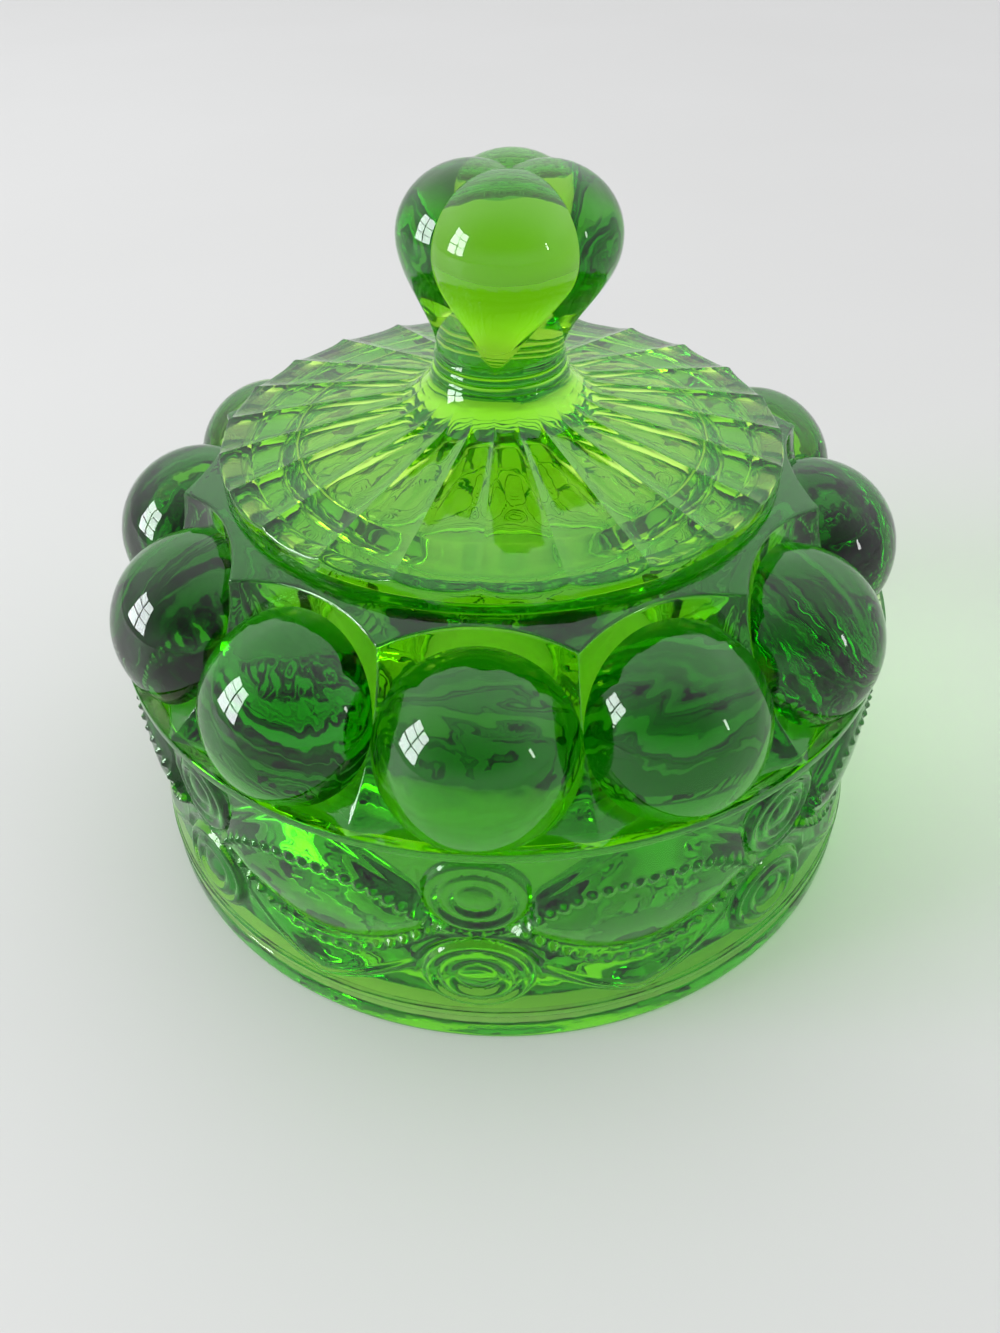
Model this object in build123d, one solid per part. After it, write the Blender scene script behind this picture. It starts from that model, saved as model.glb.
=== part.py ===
from build123d import *
import os
from math import atan, cos, degrees, radians, sin, sqrt

# Covered candy dish in pressed glass. Millimetres, +Z up, origin at the centre of the foot
# ring's resting plane. Two pieces of glass: the bowl, and the lid that rests on its rim.
# The front of the dish is -Y, where ball 0, a lower medallion and a finial lobe line up.
FRONT = -90.0

# Foot ring and floor
FOOT_R = 69.0
FOOT_BAND_Z = 4.4
FOOT_GROOVE = 0.9
FOOT_TOP_Z = 8.0
RECESS_R = 58.0
RECESS_Z = 2.0
FLOOR_Z = 8.5

# Lower wall and the ledge above it
WALL_R = 67.0
WALL_FOOT_Z = 9.6
WALL_TOP_Z = 43.4
LEDGE_R = 69.0
LEDGE_Z = (45.4, 47.2)

# Shoulder: twelve flutes that meet in sharp ridges, and a ball nested in each flute
BALLS = 12
BALL_R = 15.6
BALL_RING_R = 54.5
BALL_Z = 53.7
RIM_R = 54.0
RIM_Z = 70.2
RIDGE_MID = (59.4, 55.6)
FLUTE_INNER_R = 48.9
FLUTE_ARC_R = 31.6
FLUTE_SCOOP_R = 25.4
FLUTE_HALF_LENGTH = 20.0

# Rim top, mouth and inside
SEAT_R = 47.4
SEAT_Z = 71.8
MOUTH_R = 42.7
INSIDE_FOOT_R = 41.7
INSIDE_CORNER_R = 6.0

# Lower wall relief, repeated eight times
REPEATS = 8
MEDALLION_Z = (14.4, 34.6)
MEDALLION_R = 8.6
MEDALLION_RISE = 1.5
RING_RADII = (2.5, 5.0, 7.5)
RING_WIDTH = 1.1
LENS_Z = 27.7
LENS_HALF_HEIGHT = 9.0
LENS_HALF_WIDTH = 18.5
LENS_RISE = 1.7

# Lid
LID_GAP = 0.1
LID_R = 47.0
LID_EDGE_Z = 76.7
RIBS = 24
RIB_END_R = 14.0
RIB_END_Z = 82.8
FLARE_R = 16.0
RIB_DEPTH = 1.0
LIP_R = (36.0, 41.2)
LIP_Z = 66.2
DOME_R = 34.0
DOME_Z = (72.6, 77.0)

# Neck and four-lobed finial
NECK_R = 10.3
NECK_Z = (87.4, 97.0)
COLLAR_RISE = 0.4
COLLAR_Z = 89.0
CORE_TOP = (6.0, 112.0)
LOBES = 4
LOBE_R = 12.4
LOBE_OFFSET = 4.8
LOBE_Z = 107.0
LOBE_TIP = (9.9, 91.0)


def around(count, tool, first=0.0):
    """The same solid repeated evenly about the dish's axis, starting from the front."""
    return [Rot(0, 0, FRONT + first + 360.0 * i / count) * tool for i in range(count)]


def outer_body():
    """Foot ring, lower wall, ledge and shoulder, without the inside."""
    groove_r = FOOT_R - FOOT_GROOVE
    below = Polyline(
        (0, RECESS_Z),
        (RECESS_R, RECESS_Z),
        (RECESS_R + RECESS_Z, 0),
        (FOOT_R - 1.2, 0),
        (FOOT_R, 1.2),
        (FOOT_R, FOOT_BAND_Z),
        (groove_r, FOOT_BAND_Z + FOOT_GROOVE),
        (FOOT_R, FOOT_BAND_Z + 2 * FOOT_GROOVE),
        (FOOT_R, FOOT_TOP_Z),
        (WALL_R, WALL_FOOT_Z),
        (WALL_R, WALL_TOP_Z),
        (LEDGE_R, LEDGE_Z[0]),
        (LEDGE_R, LEDGE_Z[1]),
    )
    shoulder = ThreePointArc((LEDGE_R, LEDGE_Z[1]), RIDGE_MID, (RIM_R, RIM_Z))
    above = Polyline((RIM_R, RIM_Z), (SEAT_R, SEAT_Z), (0, SEAT_Z), (0, RECESS_Z))
    return revolve(Plane.XZ * make_face([below, shoulder, above]), Axis.Z)


def flute():
    """Scoop that shapes one flute: a barrel turned about a line tangent to the dish."""
    axis_r = FLUTE_INNER_R + FLUTE_SCOOP_R
    sag = FLUTE_ARC_R - sqrt(FLUTE_ARC_R**2 - FLUTE_HALF_LENGTH**2)
    end_r = FLUTE_INNER_R + sag
    arc = ThreePointArc((end_r, -FLUTE_HALF_LENGTH), (FLUTE_INNER_R, 0), (end_r, FLUTE_HALF_LENGTH))
    sides = Polyline(
        (end_r, FLUTE_HALF_LENGTH),
        (axis_r, FLUTE_HALF_LENGTH),
        (axis_r, -FLUTE_HALF_LENGTH),
        (end_r, -FLUTE_HALF_LENGTH),
    )
    barrel = revolve(make_face([arc, sides]), Axis((axis_r, 0, 0), (0, 1, 0)))
    return Pos(0, 0, RIM_Z) * barrel


def inside():
    """The dish's hollow: a cylinder with a little draft and a rounded corner at the floor."""
    corner_r = INSIDE_FOOT_R - INSIDE_CORNER_R
    corner_z = FLOOR_Z + INSIDE_CORNER_R
    bend = INSIDE_CORNER_R * cos(radians(45))
    profile = [
        Polyline((corner_r, FLOOR_Z), (0, FLOOR_Z), (0, SEAT_Z + 1), (MOUTH_R, SEAT_Z + 1),
                 (MOUTH_R, SEAT_Z), (INSIDE_FOOT_R, corner_z)),
        ThreePointArc((INSIDE_FOOT_R, corner_z), (corner_r + bend, corner_z - bend),
                      (corner_r, FLOOR_Z)),
    ]
    return revolve(Plane.XZ * make_face(profile), Axis.Z)


def medallion():
    """Round pad with three raised rings, on an axis that points out of the wall along X."""
    pad = Polyline((0, -6), (MEDALLION_R, -6), (MEDALLION_R, 0.3), (0, 0.3), close=True)
    solid = revolve(make_face(pad), Axis.Y)
    for r in RING_RADII:
        inner, outer = r - RING_WIDTH / 2, r + RING_WIDTH / 2
        ring = [
            Polyline((outer, 0), (outer, -3), (inner, -3), (inner, 0)),
            ThreePointArc((inner, 0), (r, MEDALLION_RISE), (outer, 0)),
        ]
        solid += revolve(make_face(ring), Axis.Y)
    return Pos(WALL_R, 0, 0) * Rot(0, 0, -90) * solid


def lens():
    """Pointed almond that bulges out of the wall."""
    crown_r = WALL_R + LENS_RISE
    bulge_r = (LENS_HALF_HEIGHT**2 + LENS_RISE**2) / (2 * LENS_RISE)
    drop = crown_r - sqrt(WALL_R**2 - LENS_HALF_WIDTH**2)
    turn_r = (LENS_HALF_WIDTH**2 + drop**2) / (2 * drop)
    edge = 1.6 * LENS_HALF_HEIGHT
    edge_r = turn_r - bulge_r + sqrt(bulge_r**2 - edge**2)
    profile = [
        ThreePointArc((edge_r, -edge), (turn_r, 0), (edge_r, edge)),
        Polyline((edge_r, edge), (0, edge), (0, -edge), (edge_r, -edge)),
    ]
    barrel = revolve(Plane.XZ * make_face(profile), Axis.Z)
    width = LENS_HALF_WIDTH + 0.6
    almond = make_face([
        ThreePointArc((-width, 0), (0, LENS_HALF_HEIGHT + 0.4), (width, 0)),
        ThreePointArc((width, 0), (0, -LENS_HALF_HEIGHT - 0.4), (-width, 0)),
    ])
    prism = extrude(Plane.YZ * almond, turn_r + 5)
    return Pos(crown_r - turn_r, 0, LENS_Z) * (barrel & prism)


def bowl():
    """The dish, from foot ring to scalloped rim."""
    solid = outer_body() - around(BALLS, flute())
    solid += around(BALLS, Pos(BALL_RING_R, 0, BALL_Z) * Sphere(BALL_R))
    for z in MEDALLION_Z:
        solid += around(REPEATS, Pos(0, 0, z) * medallion())
    solid += around(REPEATS, lens(), first=180.0 / REPEATS)
    return solid - inside()


def ribbed_cone():
    """Frustum whose side is hollowed panels that meet in sharp ribs."""
    rib_slope = (RIB_END_Z - LID_EDGE_Z) / (LID_R - RIB_END_R)
    panel_slope = rib_slope + RIB_DEPTH / LID_R
    apex_z = LID_EDGE_Z + rib_slope * LID_R
    sections = []
    for z in (LIP_Z - 4, RIB_END_Z + 0.8):
        rib = Vector((apex_z - z) / rib_slope, 0)
        panel = Vector((apex_z - z) / panel_slope, 0)
        step = 360.0 / RIBS
        arcs = [
            ThreePointArc(rib.rotate(Axis.Z, FRONT + step * i),
                          panel.rotate(Axis.Z, FRONT + step * (i + 0.5)),
                          rib.rotate(Axis.Z, FRONT + step * (i + 1)))
            for i in range(RIBS)
        ]
        sections.append(Pos(0, 0, z) * make_face(arcs))
    return loft(sections, ruled=True)


def lid_plate():
    """Ribbed shallow cone with its straight edge, locating lip and hollow underside."""
    seat_z = SEAT_Z + LID_GAP
    top_z = RIB_END_Z + 0.4
    profile = [
        Polyline((0, top_z), (LID_R, top_z), (LID_R, seat_z),
                 (LIP_R[1] + 0.4, seat_z), (LIP_R[1], LIP_Z + 0.8), (LIP_R[1] - 0.8, LIP_Z),
                 (LIP_R[0] + 0.8, LIP_Z), (LIP_R[0], LIP_Z + 0.8), (DOME_R, DOME_Z[0])),
        Spline((DOME_R, DOME_Z[0]), (DOME_R / 2, DOME_Z[1] - 1.0), (0, DOME_Z[1]),
               tangents=((-1, 0.45), (-1, 0))),
        Line((0, DOME_Z[1]), (0, top_z)),
    ]
    plate = revolve(Plane.XZ * make_face(profile), Axis.Z)
    return plate & ribbed_cone()


def neck():
    """Flare off the ribbed cone, neck with a thin collar, and the core that the lobes stand on."""
    flare_z = RIB_END_Z - (FLARE_R - RIB_END_R) * (RIB_END_Z - LID_EDGE_Z) / (LID_R - RIB_END_R)
    base_z = flare_z - 1
    collar_r = NECK_R + COLLAR_RISE
    profile = [
        Polyline((0, base_z), (FLARE_R, base_z), (FLARE_R, flare_z)),
        ThreePointArc((FLARE_R, flare_z), (NECK_R + 1.6, flare_z + 2.4), (NECK_R, NECK_Z[0])),
        Polyline((NECK_R, NECK_Z[0]), (collar_r, NECK_Z[0] + COLLAR_RISE), (collar_r, COLLAR_Z),
                 (NECK_R, COLLAR_Z + COLLAR_RISE), (NECK_R, NECK_Z[1]), CORE_TOP,
                 (0, CORE_TOP[1]), (0, base_z)),
    ]
    return revolve(Plane.XZ * make_face(profile), Axis.Z)


def lobe():
    """Teardrop: a ball with a cone drawn down to a point on the neck."""
    reach = LOBE_TIP[0] - LOBE_OFFSET
    drop = LOBE_Z - LOBE_TIP[1]
    length = sqrt(reach**2 + drop**2)
    lean = degrees(atan(reach / drop))
    touch_z = -(LOBE_R**2) / length
    touch_r = LOBE_R * sqrt(1 - (LOBE_R / length) ** 2)
    half_way = radians(45) + atan(touch_z / touch_r) / 2
    profile = [
        ThreePointArc((0, LOBE_R), (LOBE_R * cos(half_way), LOBE_R * sin(half_way)), (touch_r, touch_z)),
        Polyline((touch_r, touch_z), (0, -length), (0, LOBE_R)),
    ]
    teardrop = revolve(Plane.XZ * make_face(profile), Axis.Z)
    return Pos(LOBE_OFFSET, 0, LOBE_Z) * Rot(0, -lean, 0) * teardrop


def lid():
    """The lid with its finial, one piece of glass."""
    return lid_plate() + neck() + around(LOBES, lobe())


os.makedirs("parts", exist_ok=True)
for name, solid in (("bowl", bowl()), ("lid", lid())):
    export_step(solid, f"parts/{name}.step")
    box = solid.bounding_box()
    print(f"{name}: {solid.volume / 1000:.1f} cm3, {len(solid.solids())} solid, "
          f"{box.size.X:.1f} x {box.size.Y:.1f} x {box.size.Z:.1f} mm")
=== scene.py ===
import math

import bmesh
import bpy
import numpy as np
from mathutils import Matrix, Vector


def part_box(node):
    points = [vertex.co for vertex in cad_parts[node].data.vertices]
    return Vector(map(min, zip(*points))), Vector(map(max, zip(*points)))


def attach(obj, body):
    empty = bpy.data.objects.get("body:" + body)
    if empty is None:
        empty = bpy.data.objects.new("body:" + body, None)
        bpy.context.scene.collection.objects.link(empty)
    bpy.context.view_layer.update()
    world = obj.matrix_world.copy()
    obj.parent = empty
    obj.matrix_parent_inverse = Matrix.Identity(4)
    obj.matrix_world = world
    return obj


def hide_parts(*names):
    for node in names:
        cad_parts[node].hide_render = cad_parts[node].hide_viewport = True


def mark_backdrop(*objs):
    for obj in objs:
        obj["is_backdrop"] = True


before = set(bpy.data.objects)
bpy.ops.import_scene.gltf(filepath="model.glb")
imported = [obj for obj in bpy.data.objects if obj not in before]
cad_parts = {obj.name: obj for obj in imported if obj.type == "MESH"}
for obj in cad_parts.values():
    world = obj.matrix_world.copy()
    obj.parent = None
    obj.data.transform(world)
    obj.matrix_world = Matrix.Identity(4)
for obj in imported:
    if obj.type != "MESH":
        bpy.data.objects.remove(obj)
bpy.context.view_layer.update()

# Covered candy dish in green pressed glass. Lengths are millimetres until a mesh is made.
# Azimuth turns anticlockwise from the front of the dish (-Y), where a ball, a medallion
# stack, a lid rib and a finial lobe line up.
MM = 0.001
_, bowl_high = (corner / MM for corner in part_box("bowl"))
lid_low, lid_high = (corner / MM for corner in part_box("lid"))

# Foot
FOOT_R = 69.0
FOOT_TOP_Z = 8.0
GROOVE_Z = 5.3
GROOVE_DEPTH = 0.9
RECESS_R = 58.0
RECESS_Z = 2.0

# Lower wall: a pattern that repeats eight times. Rises are measured out from the ground.
REPEATS = 8
GROUND_R = 66.0
WALL_TOP_Z = 44.4
HALF_PITCH = math.pi * GROUND_R / REPEATS

# Petal: a raised band over the almond, with a rounded line along both of its outlines.
# The band is highest at its crest, next to the almond. The crest's two rises are at the
# petal's ends and at its middle. The band reaches a little over the wall's top.
PETAL_Z = 25.8
PETAL_HALF_HEIGHT = 20.5
PETAL_BEND = 1.3
PETAL_RISE = 0.3
CREST_RISE = (0.4, 2.7)
BAND_BEND = 1.6
BAND_OVER = 1.2
LEAST_HEIGHT = 0.5
OUTLINE_RISE = 0.45
OUTLINE_HALF_WIDTH = 0.8

# Almond: its ends droop, and its two bends are for its upper and lower edges. It starts a
# step below the band's crest, and swells less where it is less than the full swell's height.
ALMOND_Z = 27.7
ALMOND_HALF_WIDTH = 19.5
ALMOND_UP = 9.3
ALMOND_DOWN = 9.2
ALMOND_BEND = (2.6, 2.1)
ALMOND_DROOP = 1.9
DROOP_START = 15.0
DROOP_BEND = 1.5
ALMOND_STEP = 0.4
ALMOND_SWELL = 1.45
FULL_SWELL_HEIGHT = 12.0
SWELL_BEND = 0.85

# Roll and skirt under the almond, and a row of beads along its upper edge and one below it
ROLL_R = 1.1
ROLL_RISE = 0.75
SKIRT_RISE = 0.9
SKIRT_EDGE = 4.5
BEADS_DOWN = 11.5
BEADS_END_DOWN = 0.6
BEADS_REACH = 1.02
BEAD_R = (0.8, 0.95)
BEAD_PITCH = (2.3, 2.7)

# Medallions, upper and lower: a boss and two rings on a pad, and how far petals stay away
MEDALLION_Z = (34.6, 14.5)
MEDALLION_RINGS = ((3.2, 5.7, 8.3), (3.5, 6.5, 8.7))
MEDALLION_CLEAR = (8.9, 10.3)
PAD_RISE = 0.35
PAD_SLOPE = 0.6
RING_RISE = 0.85
BOSS_RISE = 1.15 * RING_RISE

# The wall leans out near the foot, and the pattern is squeezed together and fades there
FLARE_Z = 26.0
FLARE_OUT = 2.6
FLARE_BEND = 1.7
PATTERN_SQUEEZE = 1.5
PATTERN_LOW_Z = FOOT_TOP_Z - PATTERN_SQUEEZE * FLARE_OUT
PATTERN_FADE_Z = FOOT_TOP_Z + 4.0
PATTERN_FADE = 0.4
WALL_START_Z = FOOT_TOP_Z + 0.2

# Ledge, and the shoulder of twelve flutes with a ball in each. A rounded edge is given as
# steps back from the side and down from the top.
LEDGE_R = 69.0
LEDGE_Z = (45.4, 47.2)
LEDGE_ROUND = ((0.0, 0.2), (0.06, 0.06), (0.1, 0.0))
LEDGE_LEAST = 0.12
ON_LEDGE = 0.01
BALLS = 12
BALL_R = 15.6
BALL_RING_R = bowl_high.x - BALL_R
BALL_Z = 53.7
RIM_R = 54.0
RIM_Z = 70.2
RIM_EDGE_ROUND = 0.6
RIM_EDGE_DOWN = 0.5
RIDGE_MID = (59.4, 55.6)
RIDGE_ROUND = 0.15
SCOOP_ARC_R = 31.6
SCOOP_AXIS_R = 80.5

# Rim top, mouth and inside
SEAT_R = 47.4
SEAT_Z = bowl_high.z
MOUTH_R = 42.7
INSIDE_FOOT_R = 41.7
INSIDE_CORNER_R = 6.0
FLOOR_Z = 8.5

# Lid: hollow panels between straight ribs. The ribs rise from the edge towards RIB_TOP, given
# as a distance from the axis and a height
LID_R = lid_high.x
LID_GAP = 0.1
LID_UNDER_Z = SEAT_Z + LID_GAP
LID_EDGE_Z = 76.7
LID_EDGE_ROUND = ((0.0, 0.7), (0.04, 0.4), (0.15, 0.18), (0.35, 0.04), (0.8, 0.0))
RIBS = 24
RIB_TOP = (14.0, 82.8)
RIB_SLOPE = (RIB_TOP[1] - LID_EDGE_Z) / (LID_R - RIB_TOP[0])
RIB_ROUND = 0.04
PANEL_DEPTH = 0.8
PANEL_FLATNESS = 3.2
PANEL_FADE = 0.6
PANEL_FADE_BEND = 1.5
LIP_R = (36.0, 41.2)
LIP_Z = lid_low.z
DOME_R = 34.0
DOME_Z = (72.6, 77.0)

# Neck and four-lobed finial, which leans a little to the right. Its top is a little below
# the CAD's.
NECK_FOOT_R = 16.5
NECK_BEND = (1.4, 1.7)
NECK_R = 10.3
NECK_Z = 89.0
NECK_RINGS = (87.5, 88.7, 89.9)
NECK_RING_RISE = 0.35
NECK_RING_R = 0.55
LOBES = 4
LOBE_TIP_Z = 90.8
NECK_TOP_Z = LOBE_TIP_Z - 0.6
LOBE_Z = 107.9
LOBE_REACH = 17.2
LOBE_R = 11.8
LOBE_TIP_R = 3.4
LOBE_BEND = (1.6, 2.0)
BELOW_CAD_TOP = 1.1
LOBE_RISE = lid_high.z - BELOW_CAD_TOP - LOBE_Z
LEAN = 1.6
LEAN_Z = (90.0, 106.0)

# Fineness of the meshes. The lid's columns are shares of a panel's width.
PLAIN_COLUMNS = 240
INSIDE_COLUMNS = 360
WALL_COLUMNS = 1152
WALL_ROWS = 100
PATTERN_COLUMNS = 260
PATTERN_FINER = 3
MOULD_SOFTNESS = 2
BEAD_LINE_POINTS = 800
BALL_COLUMNS = 20
BALL_ROWS = 54
BALL_SEARCH_POINTS = 4000
SEARCH_STEPS = 30
RIM_STEPS = 8
RIDGE_COLUMNS = (0.3, 0.6, 0.8, 0.9, 0.96, 1.0)
RIB_COLUMNS = (0, 0.015, 0.035, 0.06, 0.1, *np.linspace(0.15, 0.85, 11), 0.9, 0.94, 0.965, 0.985)
WELD_M = 2e-6
BOWL_SHARP = math.radians(38)
LID_SHARP = math.radians(30)
START = -math.pi / BALLS


# ---------------------------------------------------------------- curves and profiles

def dome(x):
    """Half-round bump: 1 at x = 0, 0 at x = -1 and 1, and 0 outside."""
    return np.sqrt(np.clip(1 - x * x, 0, 1))


def smooth(t):
    """Eased step from 0 to 1 as t goes from 0 to 1."""
    t = np.clip(t, 0, 1)
    return t * t * (3 - 2 * t)


def curve_point(start, bend, end, t):
    """Point on the curve from start to end that bends towards a point between them."""
    return (1 - t) ** 2 * start + 2 * t * (1 - t) * bend + t**2 * end


def along(profile, spacing):
    """Points along a polyline of (radius, height) corners, no further apart than the spacing."""
    out = [profile[0]]
    for (r0, z0), (r1, z1) in zip(profile, profile[1:]):
        steps = max(1, math.ceil(math.hypot(r1 - r0, z1 - z0) / spacing))
        out += [(r0 + (r1 - r0) * k / steps, z0 + (z1 - z0) * k / steps) for k in range(1, steps + 1)]
    return out


def rounded(corners, radius, steps=3):
    """The polyline with each inner corner turned into a short curve."""
    out = [corners[0]]
    for before, corner, after in zip(corners, corners[1:], corners[2:]):
        before, corner, after = (np.array(p, float) for p in (before, corner, after))
        back = before - corner
        ahead = after - corner
        reach = min(radius, 0.45 * np.linalg.norm(back), 0.45 * np.linalg.norm(ahead))
        start = corner + back / np.linalg.norm(back) * reach
        end = corner + ahead / np.linalg.norm(ahead) * reach
        out += [tuple(curve_point(start, corner, end, t)) for t in np.linspace(0, 1, steps + 1)]
    out.append(corners[-1])
    return out


def arc_through(p, q, r):
    """Centre and radius of the circle through three (radius, height) points."""
    rows = np.array([[q[0] - p[0], q[1] - p[1]], [r[0] - q[0], r[1] - q[1]]]) * 2
    sides = [q[0]**2 + q[1]**2 - p[0]**2 - p[1]**2, r[0]**2 + r[1]**2 - q[0]**2 - q[1]**2]
    centre = np.linalg.solve(rows, sides)
    return centre, math.hypot(p[0] - centre[0], p[1] - centre[1])


# ---------------------------------------------------------------- mesh from stacked rings

def turn(count):
    """Evenly spaced azimuths, starting half a ball pitch before the front."""
    return START + 2 * math.pi * np.arange(count) / count


def ring(azimuth, radius, height):
    """One ring of points, all turning anticlockwise as seen from above."""
    radius = np.broadcast_to(radius, azimuth.shape)
    height = np.broadcast_to(height, azimuth.shape)
    return azimuth, np.stack([radius * np.sin(azimuth), -radius * np.cos(azimuth), height], axis=1)


def zip_rings(a, a_start, b, b_start):
    """Triangles between two rings with different numbers of points."""
    faces = []
    i = j = 0
    while i < len(a) or j < len(b):
        next_a = a[i + 1] if i + 1 < len(a) else START + 2 * math.pi
        next_b = b[j + 1] if j + 1 < len(b) else START + 2 * math.pi
        here_a = a_start + i % len(a)
        here_b = b_start + j % len(b)
        if j == len(b) or (i < len(a) and next_a <= next_b):
            faces.append((here_a, a_start + (i + 1) % len(a), here_b))
            i += 1
        else:
            faces.append((here_a, b_start + (j + 1) % len(b), here_b))
            j += 1
    return faces


def stack(name, rings, bottom_pole, top_pole, sharp_angle, top_aside=0.0):
    """Closed mesh from rings in order, from the pole under the middle, out, up and back in.

    The poles are heights on the axis, and the top one can stand aside to the right. Edges
    sharper than the angle stay sharp in the shading.
    """
    points = [np.array([[0.0, 0.0, bottom_pole]])]
    faces = []
    start = 1
    previous = None
    for azimuth, xyz in rings:
        count = len(azimuth)
        here = np.arange(count)
        ahead = (here + 1) % count
        points.append(xyz)
        if previous is None:
            faces += np.stack([np.zeros_like(here), start + ahead, start + here], axis=1).tolist()
        elif len(previous) == count:
            below = start - count
            faces += np.stack([below + here, below + ahead, start + ahead, start + here], axis=1).tolist()
        else:
            faces += zip_rings(previous, start - len(previous), azimuth, start)
        previous = azimuth
        start += count
    points.append(np.array([[top_aside, 0.0, top_pole]]))
    faces += [(start - count + i, start - count + (i + 1) % count, start) for i in range(count)]
    mesh = bpy.data.meshes.new(name)
    mesh.from_pydata(np.concatenate(points) * MM, [], faces)
    skin = bmesh.new()
    skin.from_mesh(mesh)
    bmesh.ops.remove_doubles(skin, verts=skin.verts, dist=WELD_M)
    bmesh.ops.recalc_face_normals(skin, faces=skin.faces)
    skin.to_mesh(mesh)
    skin.free()
    mesh.shade_smooth()
    mesh.set_sharp_from_angle(angle=sharp_angle)
    piece = bpy.data.objects.new(name, mesh)
    bpy.context.scene.collection.objects.link(piece)
    return piece


# ---------------------------------------------------------------- lower wall

# On the wall s is the distance from the middle of a medallion stack, along the ground, and u
# is the distance from the middle of a petal.

def petal_lines(u):
    """Heights of the petal's upper and lower outlines, a distance u from its middle."""
    s = HALF_PITCH - u
    spread = PETAL_HALF_HEIGHT * (1 - np.clip(u / HALF_PITCH, 0, 1) ** PETAL_BEND)
    over, under = MEDALLION_CLEAR
    ceiling = np.where(s < over, MEDALLION_Z[0] - np.sqrt(np.clip(over**2 - s**2, 0, None)), np.inf)
    ground = np.where(s < under, MEDALLION_Z[1] + np.sqrt(np.clip(under**2 - s**2, 0, None)), -np.inf)
    return np.minimum(PETAL_Z + spread, ceiling), np.maximum(PETAL_Z - spread, ground)


def almond_lines(u):
    """Heights of the almond's upper edge, lower edge and the row of beads under it."""
    x = np.clip(u / ALMOND_HALF_WIDTH, 0, 1)
    droop = ALMOND_DROOP * np.clip((u - DROOP_START) / (HALF_PITCH - DROOP_START), 0, 1) ** DROOP_BEND
    middle = ALMOND_Z - droop
    return (middle + ALMOND_UP * (1 - x**ALMOND_BEND[0]),
            middle - ALMOND_DOWN * (1 - x**ALMOND_BEND[1]),
            middle - BEADS_DOWN * (1 - x**2) - BEADS_END_DOWN)


def beads(u, z, line, pitch, radius):
    """Row of small half-round beads that follows one of the almond's lines."""
    fine = np.linspace(0, ALMOND_HALF_WIDTH * BEADS_REACH, BEAD_LINE_POINTS)
    height = almond_lines(fine)[line]
    length = np.concatenate([[0], np.cumsum(np.hypot(np.diff(fine), np.diff(height)))])
    bump = np.zeros_like(z)
    for where in np.arange(0, length[-1], pitch):
        at_u = np.interp(where, length, fine)
        at_z = np.interp(where, length, height)
        bump = np.maximum(bump, dome(np.hypot(u - at_u, z - at_z) / radius))
    return bump * radius


def petal_relief(s, z):
    """The petal: a smooth band over the almond, the almond itself, a roll and a skirt under it."""
    u = HALF_PITCH - s
    top, bottom = petal_lines(u)
    upper, lower, bead_line = almond_lines(u)
    fullness = 1 - (u / HALF_PITCH) ** 4
    crest = CREST_RISE[0] + (CREST_RISE[1] - CREST_RISE[0]) * fullness

    band_height = np.maximum(np.minimum(top, WALL_TOP_Z + BAND_OVER) - upper, LEAST_HEIGHT)
    up_band = np.clip((z - upper) / band_height, 0, 1)
    band = PETAL_RISE + (crest - PETAL_RISE) * (1 - up_band**BAND_BEND)

    almond_height = np.maximum(upper - lower, LEAST_HEIGHT)
    across = np.clip((2 * z - upper - lower) / almond_height, -1, 1)
    fullest = np.clip(almond_height / FULL_SWELL_HEIGHT, 0, 1)
    swell = ALMOND_SWELL * (1 - across**2) ** SWELL_BEND * fullest
    almond = PETAL_RISE + (crest - PETAL_RISE - ALMOND_STEP) * (1 + across) / 2 + swell

    down_skirt = np.clip((bead_line - z) / (bead_line - PATTERN_LOW_Z), 0, 1)
    inward = np.clip((z - bottom) / SKIRT_EDGE, 0, 1)
    skirt = PETAL_RISE + SKIRT_RISE * down_skirt * inward * (2 - inward)
    roll = PETAL_RISE + ROLL_RISE * fullness * dome((z - lower + ROLL_R) / ROLL_R)

    relief = np.where(z >= upper, band, np.where(z > lower, almond, np.maximum(skirt, roll)))
    relief += beads(u, z, 0, BEAD_PITCH[0], BEAD_R[0]) + beads(u, z, 2, BEAD_PITCH[1], BEAD_R[1])
    relief = np.where((z < top) & (z > bottom), relief, 0)
    for line in (top, bottom):
        slope = np.gradient(line[0], s[0])
        relief += OUTLINE_RISE * dome((z - line) / np.sqrt(1 + slope**2) / OUTLINE_HALF_WIDTH)
    return relief


def medallion_relief(s, z):
    """The two stacked medallions: a boss and two rounded rings each, on a low pad."""
    relief = np.zeros_like(z)
    for centre, edges in zip(MEDALLION_Z, MEDALLION_RINGS):
        r = np.hypot(s, z - centre)
        pad = PAD_RISE * np.clip((edges[-1] - r) / PAD_SLOPE, 0, 1)
        raised = BOSS_RISE * dome(r / edges[0])
        for inner, outer in zip(edges, edges[1:]):
            raised = np.maximum(raised, RING_RISE * dome((2 * r - inner - outer) / (outer - inner)))
        relief = np.maximum(relief, pad + raised)
    return relief


def soften(field, steps):
    """The field with its edges rounded off, as a mould leaves them."""
    kernel = np.exp(-0.5 * (np.arange(-3 * steps, 3 * steps + 1) / steps) ** 2)
    kernel /= kernel.sum()
    for axis in (0, 1):
        pad = [(0, 0), (0, 0)]
        pad[axis] = (3 * steps, 3 * steps)
        field = np.apply_along_axis(np.convolve, axis, np.pad(field, pad, mode="reflect"), kernel, "valid")
    return field


def flare(z):
    """How far the wall leans out on its way down to the foot."""
    return FLARE_OUT * np.clip((FLARE_Z - z) / (FLARE_Z - FOOT_TOP_Z), 0, 1) ** FLARE_BEND


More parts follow.
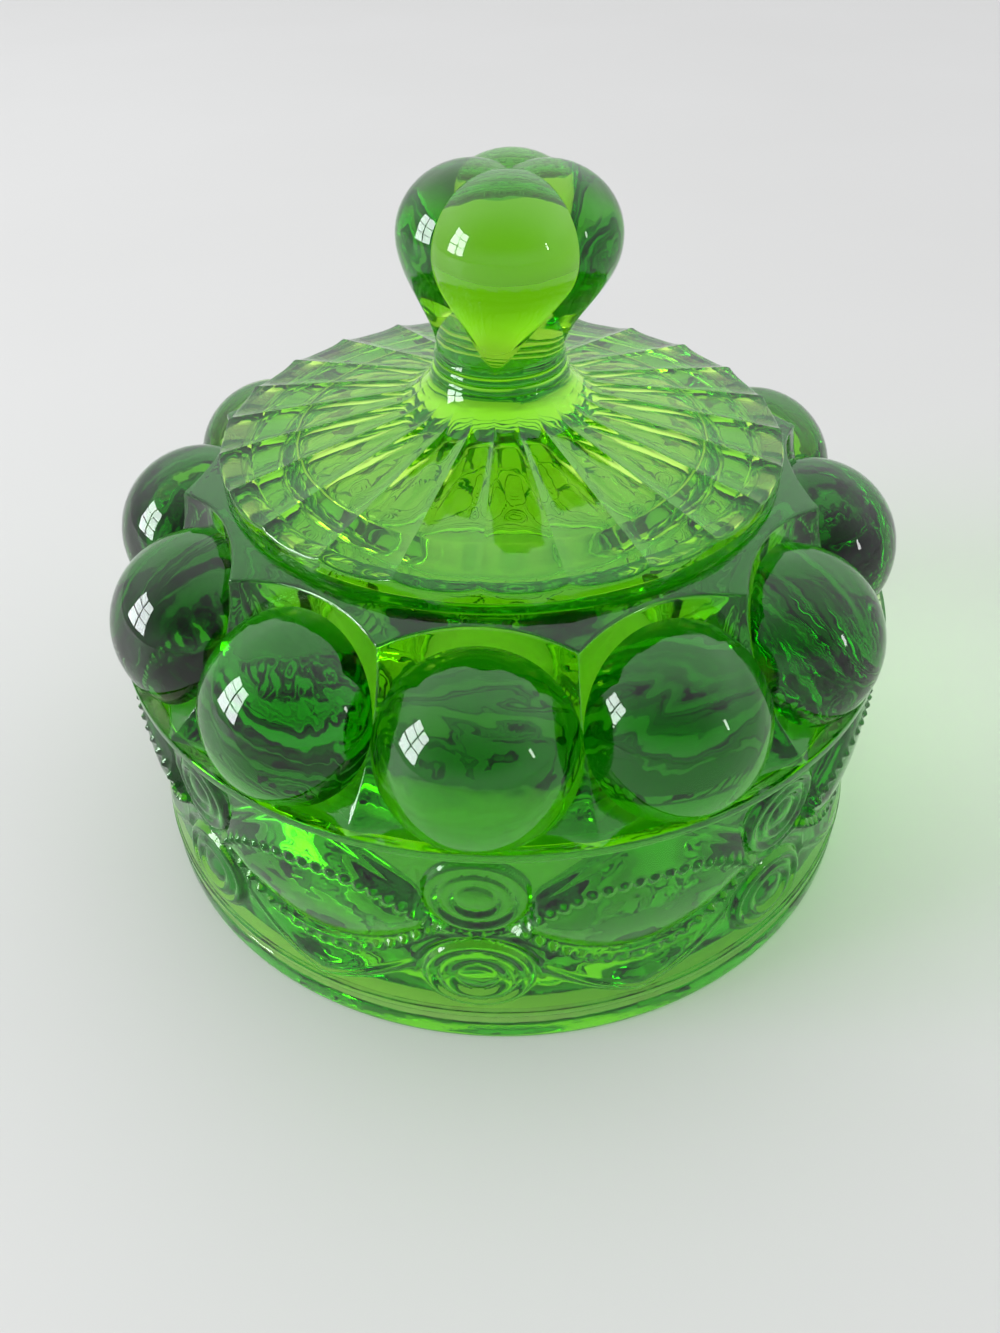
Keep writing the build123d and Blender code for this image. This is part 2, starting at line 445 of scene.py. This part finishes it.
def wall_rings():
    """The lower wall from the foot up to the underside of the ledge."""
    s = np.linspace(0, HALF_PITCH, PATTERN_COLUMNS)
    z = np.linspace(WALL_START_Z, WALL_TOP_Z, (WALL_ROWS - 1) * PATTERN_FINER + 1)
    grid_s, grid_z = np.meshgrid(s, z - PATTERN_SQUEEZE * flare(z))
    relief = np.maximum(petal_relief(grid_s, grid_z), medallion_relief(grid_s, grid_z))
    relief = soften(relief, MOULD_SOFTNESS)
    azimuth = turn(WALL_COLUMNS)
    pitch = 2 * math.pi / REPEATS
    from_medallion = np.abs((azimuth + pitch / 2) % pitch - pitch / 2) * GROUND_R
    out = []
    for height, line in zip(z[::PATTERN_FINER], relief[::PATTERN_FINER]):
        share = np.interp(height, [FOOT_TOP_Z, PATTERN_FADE_Z], [PATTERN_FADE, 1])
        raised = np.interp(from_medallion, s, line) * share
        out.append(ring(azimuth, GROUND_R + flare(height) + raised, height))
    return out


# ---------------------------------------------------------------- shoulder

RIDGE_CENTRE, RIDGE_ARC_R = arc_through((LEDGE_R, LEDGE_Z[1]), RIDGE_MID, (RIM_R, RIM_Z))
RIM_SLOPE = (SEAT_Z - RIM_Z) / (RIM_R - SEAT_R)


def ridge_radius(z):
    """Distance from the axis to the ridge between two flutes."""
    return RIDGE_CENTRE[0] - np.sqrt(np.clip(RIDGE_ARC_R**2 - (z - RIDGE_CENTRE[1])**2, 0, None))


def scoop(delta):
    """How far the flute is cut in from the ridge line, at an angle from the middle of its ball."""
    half_chord = math.sqrt(SCOOP_ARC_R**2 - (SCOOP_AXIS_R * math.sin(delta))**2)
    scallop = SCOOP_AXIS_R * math.cos(delta) - half_chord
    return math.hypot(RIM_R - scallop, RIDGE_ROUND)


def ball_span(delta, cut):
    """Ball's arc that stands clear of the flute: circle centre, its radius, and first and last angles."""
    centre = BALL_RING_R * math.cos(delta)
    radius = math.sqrt(max(BALL_R**2 - (BALL_RING_R * math.sin(delta))**2, 0.01))
    angle = np.linspace(math.radians(-85), math.radians(172), BALL_SEARCH_POINTS)
    r = centre + radius * np.cos(angle)
    z = BALL_Z + radius * np.sin(angle)
    clear = np.minimum(z - LEDGE_Z[1], r - (ridge_radius(z) - cut))
    peak = int(np.argmax(clear))
    if clear[peak] <= 0:
        return centre, radius, angle[peak], angle[peak]
    first = last = peak
    while clear[first - 1] > 0:
        first -= 1
    while last + 1 < len(angle) and clear[last + 1] > 0:
        last += 1
    step = angle[1] - angle[0]
    begin = angle[first] - step * clear[first] / (clear[first] - clear[first - 1])
    end = angle[last] + step * clear[last] / (clear[last] - clear[last + 1])
    return centre, radius, begin, end


def shoulder_column(delta):
    """Points from the ledge's edge over ledge, flute and ball to the lid's seat, at one angle."""
    cut = scoop(delta)
    ledge = LEDGE_Z[1]
    centre, radius, begin, end = ball_span(delta, cut)
    z_begin = BALL_Z + radius * math.sin(begin)
    z_end = BALL_Z + radius * math.sin(end)
    on_ledge = z_begin < ledge + ON_LEDGE
    foot_r = centre + radius * math.cos(begin) if on_ledge else ridge_radius(ledge) - cut
    foot_r = min(foot_r, LEDGE_R - LEDGE_LEAST)
    column = [(LEDGE_R - back, ledge - down) for back, down in LEDGE_ROUND[:-1]]
    column += [(r, ledge) for r in np.linspace(LEDGE_R - LEDGE_ROUND[-1][0], foot_r, 5)]
    for z in np.linspace(ledge, ledge if on_ledge else z_begin, 9)[1:]:
        column.append((foot_r if on_ledge else ridge_radius(z) - cut, z))
    if begin < end:
        for angle in np.linspace(begin, end, BALL_ROWS + 2)[1:-1]:
            column.append((centre + radius * math.cos(angle), BALL_Z + radius * math.sin(angle)))
    else:
        column += [column[-1]] * BALL_ROWS
    top = RIM_Z
    for _ in range(RIM_STEPS):
        top = RIM_Z + (RIM_R - ridge_radius(top) + cut) * RIM_SLOPE
    column += [(ridge_radius(z) - cut, z) for z in np.linspace(z_end, top - RIM_EDGE_DOWN, 15)]
    below = np.array(column[-1])
    corner = np.array([ridge_radius(top) - cut, top])
    seat = np.array([SEAT_R, SEAT_Z])
    reach = min(RIM_EDGE_ROUND, 0.4 * (corner[0] - SEAT_R))
    inner = corner + (seat - corner) / np.linalg.norm(seat - corner) * reach
    column += [tuple(curve_point(below, corner, inner, t)) for t in (0.25, 0.5, 0.75, 1.0)]
    column += [tuple(inner + (seat - inner) * t) for t in (0.35, 0.7, 0.97)]
    return column


def shoulder_rings():
    """All twelve flutes and balls, as rings that run from the ledge's edge to the lid's seat."""
    # The ball stands clear of the flute out to the angle touch, which is found by halving
    half_pitch = math.pi / BALLS
    low, high = math.radians(8), half_pitch
    for _ in range(SEARCH_STEPS):
        touch = (low + high) / 2
        _, _, begin, end = ball_span(touch, scoop(touch))
        low, high = (touch, high) if end > begin else (low, touch)
    on_ball = touch * np.sin(math.pi / 2 * np.arange(BALL_COLUMNS) / (BALL_COLUMNS - 1))
    beside = touch + (half_pitch - touch) * np.array(RIDGE_COLUMNS)
    half = np.concatenate([on_ball, beside])
    columns = [shoulder_column(delta) for delta in half]
    across = np.concatenate([-half[:0:-1], half[:-1]])
    azimuth = np.concatenate([across + 2 * math.pi * k / BALLS for k in range(BALLS)])
    table = np.array(columns[:0:-1] + columns[:-1])
    return [ring(azimuth, np.tile(row[:, 0], BALLS), np.tile(row[:, 1], BALLS))
            for row in table.transpose(1, 0, 2)]


# ---------------------------------------------------------------- bowl

def foot_rings():
    """The grooved foot band."""
    band = rounded([
        (FOOT_R - 1.5, 0),
        (FOOT_R - 0.2, 0.02),
        (FOOT_R, 0.8),
        (FOOT_R, GROOVE_Z - GROOVE_DEPTH),
        (FOOT_R - GROOVE_DEPTH, GROOVE_Z),
        (FOOT_R, GROOVE_Z + GROOVE_DEPTH),
        (FOOT_R, FOOT_TOP_Z - 0.5),
        (FOOT_R - 0.3, FOOT_TOP_Z),
    ], 0.45, steps=2)
    return [ring(turn(WALL_COLUMNS), r, z) for r, z in band]


def ledge_rings():
    """The ledge's underside and its edge."""
    profile = rounded([
        (GROUND_R + 0.3, WALL_TOP_Z + 0.15),
        (GROUND_R + 1.2, WALL_TOP_Z + 0.4),
        (LEDGE_R, LEDGE_Z[0]),
        (LEDGE_R, LEDGE_Z[1] - 0.6),
    ], 0.4)
    return [ring(turn(WALL_COLUMNS), r, z) for r, z in profile]


def inside_rings():
    """The rim's flat top inside the seat, the mouth, the bore, its rounded corner and the floor."""
    corner_r = INSIDE_FOOT_R - INSIDE_CORNER_R
    corner_z = FLOOR_Z + INSIDE_CORNER_R
    mouth = rounded([(SEAT_R - 0.5, SEAT_Z), (MOUTH_R, SEAT_Z), (INSIDE_FOOT_R, corner_z)], 0.7)
    bend = [(corner_r + INSIDE_CORNER_R * math.cos(a), corner_z - INSIDE_CORNER_R * math.sin(a))
            for a in np.linspace(0, math.pi / 2, 13)[1:]]
    floor = along([bend[-1], (2.0, FLOOR_Z)], 6.0)[1:]
    return [ring(turn(INSIDE_COLUMNS), r, z) for r, z in along(mouth, 2.5) + bend + floor]


def bowl():
    recess = rounded([
        (2.0, RECESS_Z),
        (RECESS_R, RECESS_Z),
        (RECESS_R + RECESS_Z, 0),
        (FOOT_R - 2, 0),
    ], 0.8)
    rings = [ring(turn(PLAIN_COLUMNS), r, z) for r, z in along(recess, 9.0)]
    rings += foot_rings() + wall_rings() + ledge_rings() + shoulder_rings() + inside_rings()
    return stack("bowl_glass", rings, RECESS_Z, FLOOR_Z, BOWL_SHARP)


# ---------------------------------------------------------------- lid

def lid_columns():
    """Azimuths for the lid, closer together at each rib, and how deep each is in its panel, 0 to 1."""
    across = np.array(RIB_COLUMNS)
    panel = 2 * math.pi / RIBS
    azimuth = np.concatenate([START + panel * (k + across) for k in range(RIBS)])
    hollow = np.hypot(1 - np.abs(2 * across - 1) ** PANEL_FLATNESS, RIB_ROUND)
    return azimuth, np.tile(hollow, RIBS)


def cone_z(r):
    """Height of the ribs at a distance from the axis."""
    return LID_EDGE_Z + (LID_R - r) * RIB_SLOPE


def neck_ring(z):
    """How far the fine rings round the neck stand out at a height."""
    return sum(NECK_RING_RISE * dome((z - centre) / NECK_RING_R) for centre in NECK_RINGS)


def lobe_radius(delta, z):
    """Distance from the axis to a lobe's surface, below its equator; 0 where there is none."""
    swell = np.sin(math.pi / 2 * np.clip((z - LOBE_TIP_Z) / (LOBE_Z - LOBE_TIP_Z), 0, 1))
    reach = NECK_R + (LOBE_REACH - NECK_R) * swell**LOBE_BEND[0]
    round_r = LOBE_TIP_R + (LOBE_R - LOBE_TIP_R) * swell**LOBE_BEND[1]
    centre = reach - round_r
    across = round_r**2 - (centre * np.sin(delta))**2
    return np.where(across > 0, centre * np.cos(delta) + np.sqrt(np.clip(across, 0, None)), 0)


def lobe_start(delta):
    """Height at which the lobe comes out of the neck, at an angle from the lobe's middle."""
    low = np.full_like(delta, LOBE_TIP_Z)
    high = np.full_like(delta, LOBE_Z)
    for _ in range(SEARCH_STEPS):
        middle = (low + high) / 2
        inside = lobe_radius(delta, middle) < NECK_R
        low = np.where(inside, middle, low)
        high = np.where(inside, high, middle)
    return high


def underside_rings():
    """The lid's shallow dome, the lip that hangs in the mouth, and the flat that sits on the rim."""
    curve = [(DOME_R * math.sin(t), DOME_Z[0] + (DOME_Z[1] - DOME_Z[0]) * math.cos(t))
             for t in np.linspace(0.06, math.pi / 2, 16)]
    lip = rounded([
        (DOME_R, DOME_Z[0]),
        (LIP_R[0], LIP_Z),
        (LIP_R[1], LIP_Z),
        (LIP_R[1], LID_UNDER_Z),
        (LID_R - 2, LID_UNDER_Z),
    ], 0.8)
    return [ring(turn(PLAIN_COLUMNS), r, z) for r, z in curve + along(lip, 2.5)[1:]]


def edge_rings(azimuth, hollow):
    """The lid's upright edge, with a scalloped and rounded top."""
    foot = rounded([(LID_R - 1.6, LID_UNDER_Z), (LID_R, LID_UNDER_Z), (LID_R, LID_UNDER_Z + 1.6)], 0.5)
    rings = [ring(azimuth, r, z) for r, z in foot]
    low = foot[-1][1]
    top = LID_EDGE_Z - PANEL_DEPTH * hollow
    rings += [ring(azimuth, LID_R, low + (top - LID_EDGE_ROUND[0][1] - low) * t) for t in (0.35, 0.7)]
    rings += [ring(azimuth, LID_R - back, top - down) for back, down in LID_EDGE_ROUND[:-1]]
    return rings


def top_rings(azimuth, hollow):
    """The ribbed cone and the flare that takes it up into the neck."""
    rings = []
    for r in np.linspace(LID_R - LID_EDGE_ROUND[-1][0], NECK_FOOT_R, 20):
        panel = PANEL_DEPTH * hollow * math.sqrt(r / LID_R)
        rings.append(ring(azimuth, r, cone_z(r) - panel))
    start = np.array([NECK_FOOT_R, cone_z(NECK_FOOT_R)])
    bend = np.array([NECK_R + NECK_BEND[0], start[1] + NECK_BEND[1]])
    end = np.array([NECK_R, NECK_Z])
    for t in np.linspace(0, 1, 31)[1:]:
        r, z = curve_point(start, bend, end, t)
        left = max(0.0, 1 - t / PANEL_FADE) ** PANEL_FADE_BEND
        panel = PANEL_DEPTH * hollow * math.sqrt(r / LID_R) * left
        rings.append(ring(azimuth, r + neck_ring(z), z - panel))
    return rings


def finial_rings(azimuth):
    """The neck and the four lobes, each a pointed drop that meets its neighbours in a crease."""
    pitch = 2 * math.pi / LOBES
    delta = (azimuth + pitch / 2) % pitch - pitch / 2
    rings = [ring(azimuth, NECK_R + neck_ring(z), z) for z in np.linspace(NECK_Z, NECK_TOP_Z, 13)[1:]]
    meet_z = lobe_start(delta)
    for t in np.linspace(0, 1, 11)[1:]:
        z = NECK_TOP_Z + (meet_z - NECK_TOP_Z) * t
        rings.append(ring(azimuth, NECK_R + neck_ring(z), z))
    for t in np.linspace(0, 1, 33)[1:]:
        z = meet_z + (LOBE_Z - meet_z) * t
        rings.append(ring(azimuth, np.maximum(lobe_radius(delta, z), NECK_R), z))
    widest = lobe_radius(delta, np.full_like(delta, LOBE_Z))
    centre = LOBE_REACH - LOBE_R
    for t in np.linspace(0, 1, 27)[1:-1]:
        r = widest * math.cos(math.pi / 2 * t)
        away = r**2 - 2 * r * centre * np.cos(delta) + centre**2
        rings.append(ring(azimuth, r, LOBE_Z + LOBE_RISE * np.sqrt(np.clip(1 - away / LOBE_R**2, 0, 1))))
    return rings


def lid():
    azimuth, hollow = lid_columns()
    rings = underside_rings() + edge_rings(azimuth, hollow) + top_rings(azimuth, hollow)
    rings += finial_rings(azimuth)
    for _, xyz in rings:
        xyz[:, 0] += LEAN * smooth((xyz[:, 2] - LEAN_Z[0]) / (LEAN_Z[1] - LEAN_Z[0]))
    pole = LOBE_Z + LOBE_RISE * math.sqrt(1 - ((LOBE_REACH - LOBE_R) / LOBE_R)**2)
    return stack("lid_glass", rings, DOME_Z[1], pole, LID_SHARP, LEAN)


# ---------------------------------------------------------------- looks

# Light taken up per metre of glass in red, green and blue: what is seen through it, and the
# paler light that it lets on to the floor
ABSORB = (51.0, 15.0, 160.0)
SHADOW_ABSORB = (15.0, 6.5, 19.0)
SURFACE_TINT = (0.93, 0.99, 0.88, 1)
SHADOW_TINT = (0.92, 0.98, 0.9, 1)
GLASS_IOR = 1.52
RIPPLE_SCALE = 130.0
RIPPLE_STRENGTH = 0.5
RIPPLE_HEIGHT_M = 0.0003
SMUDGE_SCALE = 45.0
SMUDGE_ROUGHNESS = 0.008


def add_node(tree, kind, values=None, **settings):
    """New node in the tree, with its settings and input values."""
    made = tree.nodes.new(kind)
    for name, value in settings.items():
        setattr(made, name, value)
    for name, value in (values or {}).items():
        made.inputs[name].default_value = value
    return made


def absorption_colour(absorb):
    """Colour that makes an absorption volume of the strongest density take up these amounts."""
    return (*(1 - take / max(ABSORB) for take in absorb), 1)


def pressed_glass(name):
    """Clear green glass: colour comes from depth, with the faint ripple of a pressed surface."""
    material = bpy.data.materials.new(name)
    material.use_nodes = True
    tree = material.node_tree
    tree.nodes.clear()
    out = add_node(tree, "ShaderNodeOutputMaterial")
    where = add_node(tree, "ShaderNodeTexCoord")
    path = add_node(tree, "ShaderNodeLightPath")
    ripple = add_node(tree, "ShaderNodeTexNoise", {"Scale": RIPPLE_SCALE, "Detail": 2.0})
    bump = add_node(tree, "ShaderNodeBump", {
        "Strength": RIPPLE_STRENGTH,
        "Distance": RIPPLE_HEIGHT_M,
    })
    smudge = add_node(tree, "ShaderNodeTexNoise", {"Scale": SMUDGE_SCALE, "Detail": 4.0})
    rough = add_node(tree, "ShaderNodeMapRange", {"To Min": 0.0, "To Max": SMUDGE_ROUGHNESS})
    glass = add_node(tree, "ShaderNodeBsdfPrincipled", {
        "Base Color": SURFACE_TINT,
        "Transmission Weight": 1.0,
        "IOR": GLASS_IOR,
    })
    clear = add_node(tree, "ShaderNodeBsdfTransparent", {"Color": SHADOW_TINT})
    mix = add_node(tree, "ShaderNodeMixShader")
    passed = add_node(tree, "ShaderNodeMix", {
        "A": absorption_colour(ABSORB),
        "B": absorption_colour(SHADOW_ABSORB),
    }, data_type="RGBA")
    tint = add_node(tree, "ShaderNodeVolumeAbsorption", {"Density": max(ABSORB)})
    link = tree.links.new
    link(where.outputs["Object"], ripple.inputs["Vector"])
    link(where.outputs["Object"], smudge.inputs["Vector"])
    link(ripple.outputs["Fac"], bump.inputs["Height"])
    link(bump.outputs["Normal"], glass.inputs["Normal"])
    link(smudge.outputs["Fac"], rough.inputs["Value"])
    link(rough.outputs["Result"], glass.inputs["Roughness"])
    link(path.outputs["Is Shadow Ray"], mix.inputs["Fac"])
    link(path.outputs["Is Shadow Ray"], passed.inputs["Factor"])
    link(passed.outputs["Result"], tint.inputs["Color"])
    link(glass.outputs["BSDF"], mix.inputs[1])
    link(clear.outputs["BSDF"], mix.inputs[2])
    link(mix.outputs["Shader"], out.inputs["Surface"])
    link(tint.outputs["Volume"], out.inputs["Volume"])
    return material


bowl_piece = bowl()
bowl_piece.data.materials.append(pressed_glass("green_glass_bowl"))
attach(bowl_piece, "bowl")
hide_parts("bowl")

lid_piece = lid()
lid_piece.data.materials.append(pressed_glass("green_glass_lid"))
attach(lid_piece, "lid")
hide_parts("lid")


# ---------------------------------------------------------------- studio, in metres

STUDIO_FLOOR_R = 6.0
STUDIO_FLOOR_RINGS = 12
STUDIO_FLOOR_SPOKES = 96
STUDIO_FLOOR_GAP = 0.0001
STUDIO_FLOOR_SHADES = ((0.60, 0.59, 0.57, 1), (0.64, 0.63, 0.615, 1))
STUDIO_FLOOR_ROUGHNESS = 0.55
MOTTLE_SCALE = 5.0

# Window-like softbox on the left: three rows of two panes
WINDOW_MIDDLE = Vector((-1.5, -0.42, 0.62))
WINDOW_ROWS = 3
WINDOW_COLUMNS = 2
PANE = (0.35, 0.285)
BAR = (0.05, 0.04)
PANE_AIM_DOWN = 0.12
PANE_W = 4.6
DAYLIGHT = (0.93, 0.97, 1.0)

# Small soft light on the right
FILL_AT = (1.9, -0.9, 0.75)
FILL_TARGET = (0, 0, 0.05)
FILL_SIZE = (0.1, 0.4)
FILL_W = 1.6

# Surround: one even level round the horizon, and above it dim at the front and bright at the
# back. The ranges are parts of a direction of length 1.
HORIZON = 0.78
OVERHEAD = (0.25, 1.3)
OVERHEAD_FROM_Y = (-0.9, 0.3)
UPWARD_FROM_Z = (0.1, 0.5)
SKY_COLOUR = (0.96, 0.975, 1.0, 1)

# Camera: above the front of the dish, a little to its right, looking down. Its place is in
# millimetres, and so are its lens and sensor.
CAMERA_AT = Vector((-0.86, -163.1, 162.5)) * MM
CAMERA_PITCH = math.radians(40.645)
CAMERA_ROLL = math.radians(-0.941)
CAMERA_ROUND = math.radians(4.33)
CAMERA_LENS = 28.69
CAMERA_SENSOR = 36.0
CAMERA_NEAR_M = 0.01

LIGHT_BOUNCES = 24
GLOSSY_BOUNCES = 12
FIREFLY_CLAMP = 2.5


def floor_material():
    """Pale matt surface with a very faint mottle."""
    material = bpy.data.materials.new("studio_floor")
    material.use_nodes = True
    tree = material.node_tree
    surface = tree.nodes["Principled BSDF"]
    surface.inputs["Roughness"].default_value = STUDIO_FLOOR_ROUGHNESS
    where = add_node(tree, "ShaderNodeTexCoord")
    mottle = add_node(tree, "ShaderNodeTexNoise", {"Scale": MOTTLE_SCALE, "Detail": 5.0})
    shade = add_node(tree, "ShaderNodeMix", {
        "A": STUDIO_FLOOR_SHADES[0],
        "B": STUDIO_FLOOR_SHADES[1],
    }, data_type="RGBA")
    tree.links.new(where.outputs["Object"], mottle.inputs["Vector"])
    tree.links.new(mottle.outputs["Fac"], shade.inputs["Factor"])
    tree.links.new(shade.outputs["Result"], surface.inputs["Base Color"])
    return material


def studio_floor(radius, rings, spokes):
    """Round floor that the dish stands on, with a hair's breadth of air under the foot."""
    disc = bmesh.new()
    centre = disc.verts.new((0, 0, 0))
    previous = None
    for k in range(1, rings + 1):
        r = radius * (k / rings) ** 2
        angles = [2 * math.pi * i / spokes for i in range(spokes)]
        verts = [disc.verts.new((r * math.cos(angle), r * math.sin(angle), 0)) for angle in angles]
        for i in range(spokes):
            j = (i + 1) % spokes
            if previous is None:
                disc.faces.new((centre, verts[i], verts[j]))
            else:
                disc.faces.new((previous[i], verts[i], verts[j], previous[j]))
        previous = verts
    mesh = bpy.data.meshes.new("studio_floor")
    disc.to_mesh(mesh)
    disc.free()
    mesh.materials.append(floor_material())
    piece = bpy.data.objects.new("studio_floor", mesh)
    piece.location.z = -STUDIO_FLOOR_GAP
    bpy.context.scene.collection.objects.link(piece)
    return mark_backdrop(piece)


def soft_light(name, position, target, size, power, colour=(1, 1, 1)):
    """Rectangular area light that faces a target."""
    data = bpy.data.lights.new(name, "AREA")
    data.shape = "RECTANGLE"
    data.size, data.size_y = size
    data.energy = power
    data.color = colour
    lamp = bpy.data.objects.new(name, data)
    bpy.context.scene.collection.objects.link(lamp)
    position = Vector(position)
    lamp.location = position
    lamp.rotation_euler = (Vector(target) - position).to_track_quat("-Z", "Y").to_euler()


def window():
    """Rows and columns of panes with gaps between them, each aimed at the axis below its height."""
    sideways = WINDOW_MIDDLE.cross(Vector((0, 0, 1))).normalized()
    for row in range(WINDOW_ROWS):
        for column in range(WINDOW_COLUMNS):
            aside = (column - (WINDOW_COLUMNS - 1) / 2) * (PANE[0] + BAR[0])
            up = (row - (WINDOW_ROWS - 1) / 2) * (PANE[1] + BAR[1])
            place = WINDOW_MIDDLE + sideways * aside + Vector((0, 0, up))
            target = (0, 0, place.z - PANE_AIM_DOWN)
            soft_light(f"window_{row}_{column}", place, target, PANE, PANE_W, DAYLIGHT)


def surround():
    """World light that changes only with direction: height, and front to back overhead."""
    world = bpy.data.worlds.new("studio_world")
    bpy.context.scene.world = world
    world.use_nodes = True
    tree = world.node_tree
    sky = tree.nodes["Background"]
    sky.inputs["Color"].default_value = SKY_COLOUR
    where = add_node(tree, "ShaderNodeTexCoord")
    split = add_node(tree, "ShaderNodeSeparateXYZ")
    overhead = add_node(tree, "ShaderNodeMapRange", {
        "From Min": OVERHEAD_FROM_Y[0],
        "From Max": OVERHEAD_FROM_Y[1],
        "To Min": OVERHEAD[0],
        "To Max": OVERHEAD[1],
    }, interpolation_type="SMOOTHSTEP")
    upward = add_node(tree, "ShaderNodeMapRange", {
        "From Min": UPWARD_FROM_Z[0],
        "From Max": UPWARD_FROM_Z[1],
    }, interpolation_type="SMOOTHSTEP")
    level = add_node(tree, "ShaderNodeMix", {"A": HORIZON})
    link = tree.links.new
    link(where.outputs["Generated"], split.inputs["Vector"])
    link(split.outputs["Y"], overhead.inputs["Value"])
    link(split.outputs["Z"], upward.inputs["Value"])
    link(overhead.outputs["Result"], level.inputs["B"])
    link(upward.outputs["Result"], level.inputs["Factor"])
    link(level.outputs["Result"], sky.inputs["Strength"])


def photo_camera():
    """Camera at the photograph's place, angle and lens."""
    view = Matrix.Rotation(CAMERA_ROUND, 4, "Z") @ Matrix.Translation(CAMERA_AT)
    view = view @ Matrix.Rotation(math.pi / 2 - CAMERA_PITCH, 4, "X") @ Matrix.Rotation(CAMERA_ROLL, 4, "Z")
    data = bpy.data.cameras.new("photo_camera")
    data.lens = CAMERA_LENS
    data.sensor_width = CAMERA_SENSOR
    data.clip_start = CAMERA_NEAR_M
    camera = bpy.data.objects.new("photo_camera", data)
    camera.matrix_world = view
    bpy.context.scene.collection.objects.link(camera)
    return camera


studio_floor(STUDIO_FLOOR_R, STUDIO_FLOOR_RINGS, STUDIO_FLOOR_SPOKES)
window()
soft_light("fill_right", FILL_AT, FILL_TARGET, FILL_SIZE, FILL_W)
surround()
bpy.context.scene.camera = photo_camera()

scene = bpy.context.scene
scene.cycles.max_bounces = LIGHT_BOUNCES
scene.cycles.transmission_bounces = LIGHT_BOUNCES
scene.cycles.transparent_max_bounces = LIGHT_BOUNCES
scene.cycles.glossy_bounces = GLOSSY_BOUNCES
scene.cycles.sample_clamp_indirect = FIREFLY_CLAMP
scene.view_settings.view_transform = "Standard"
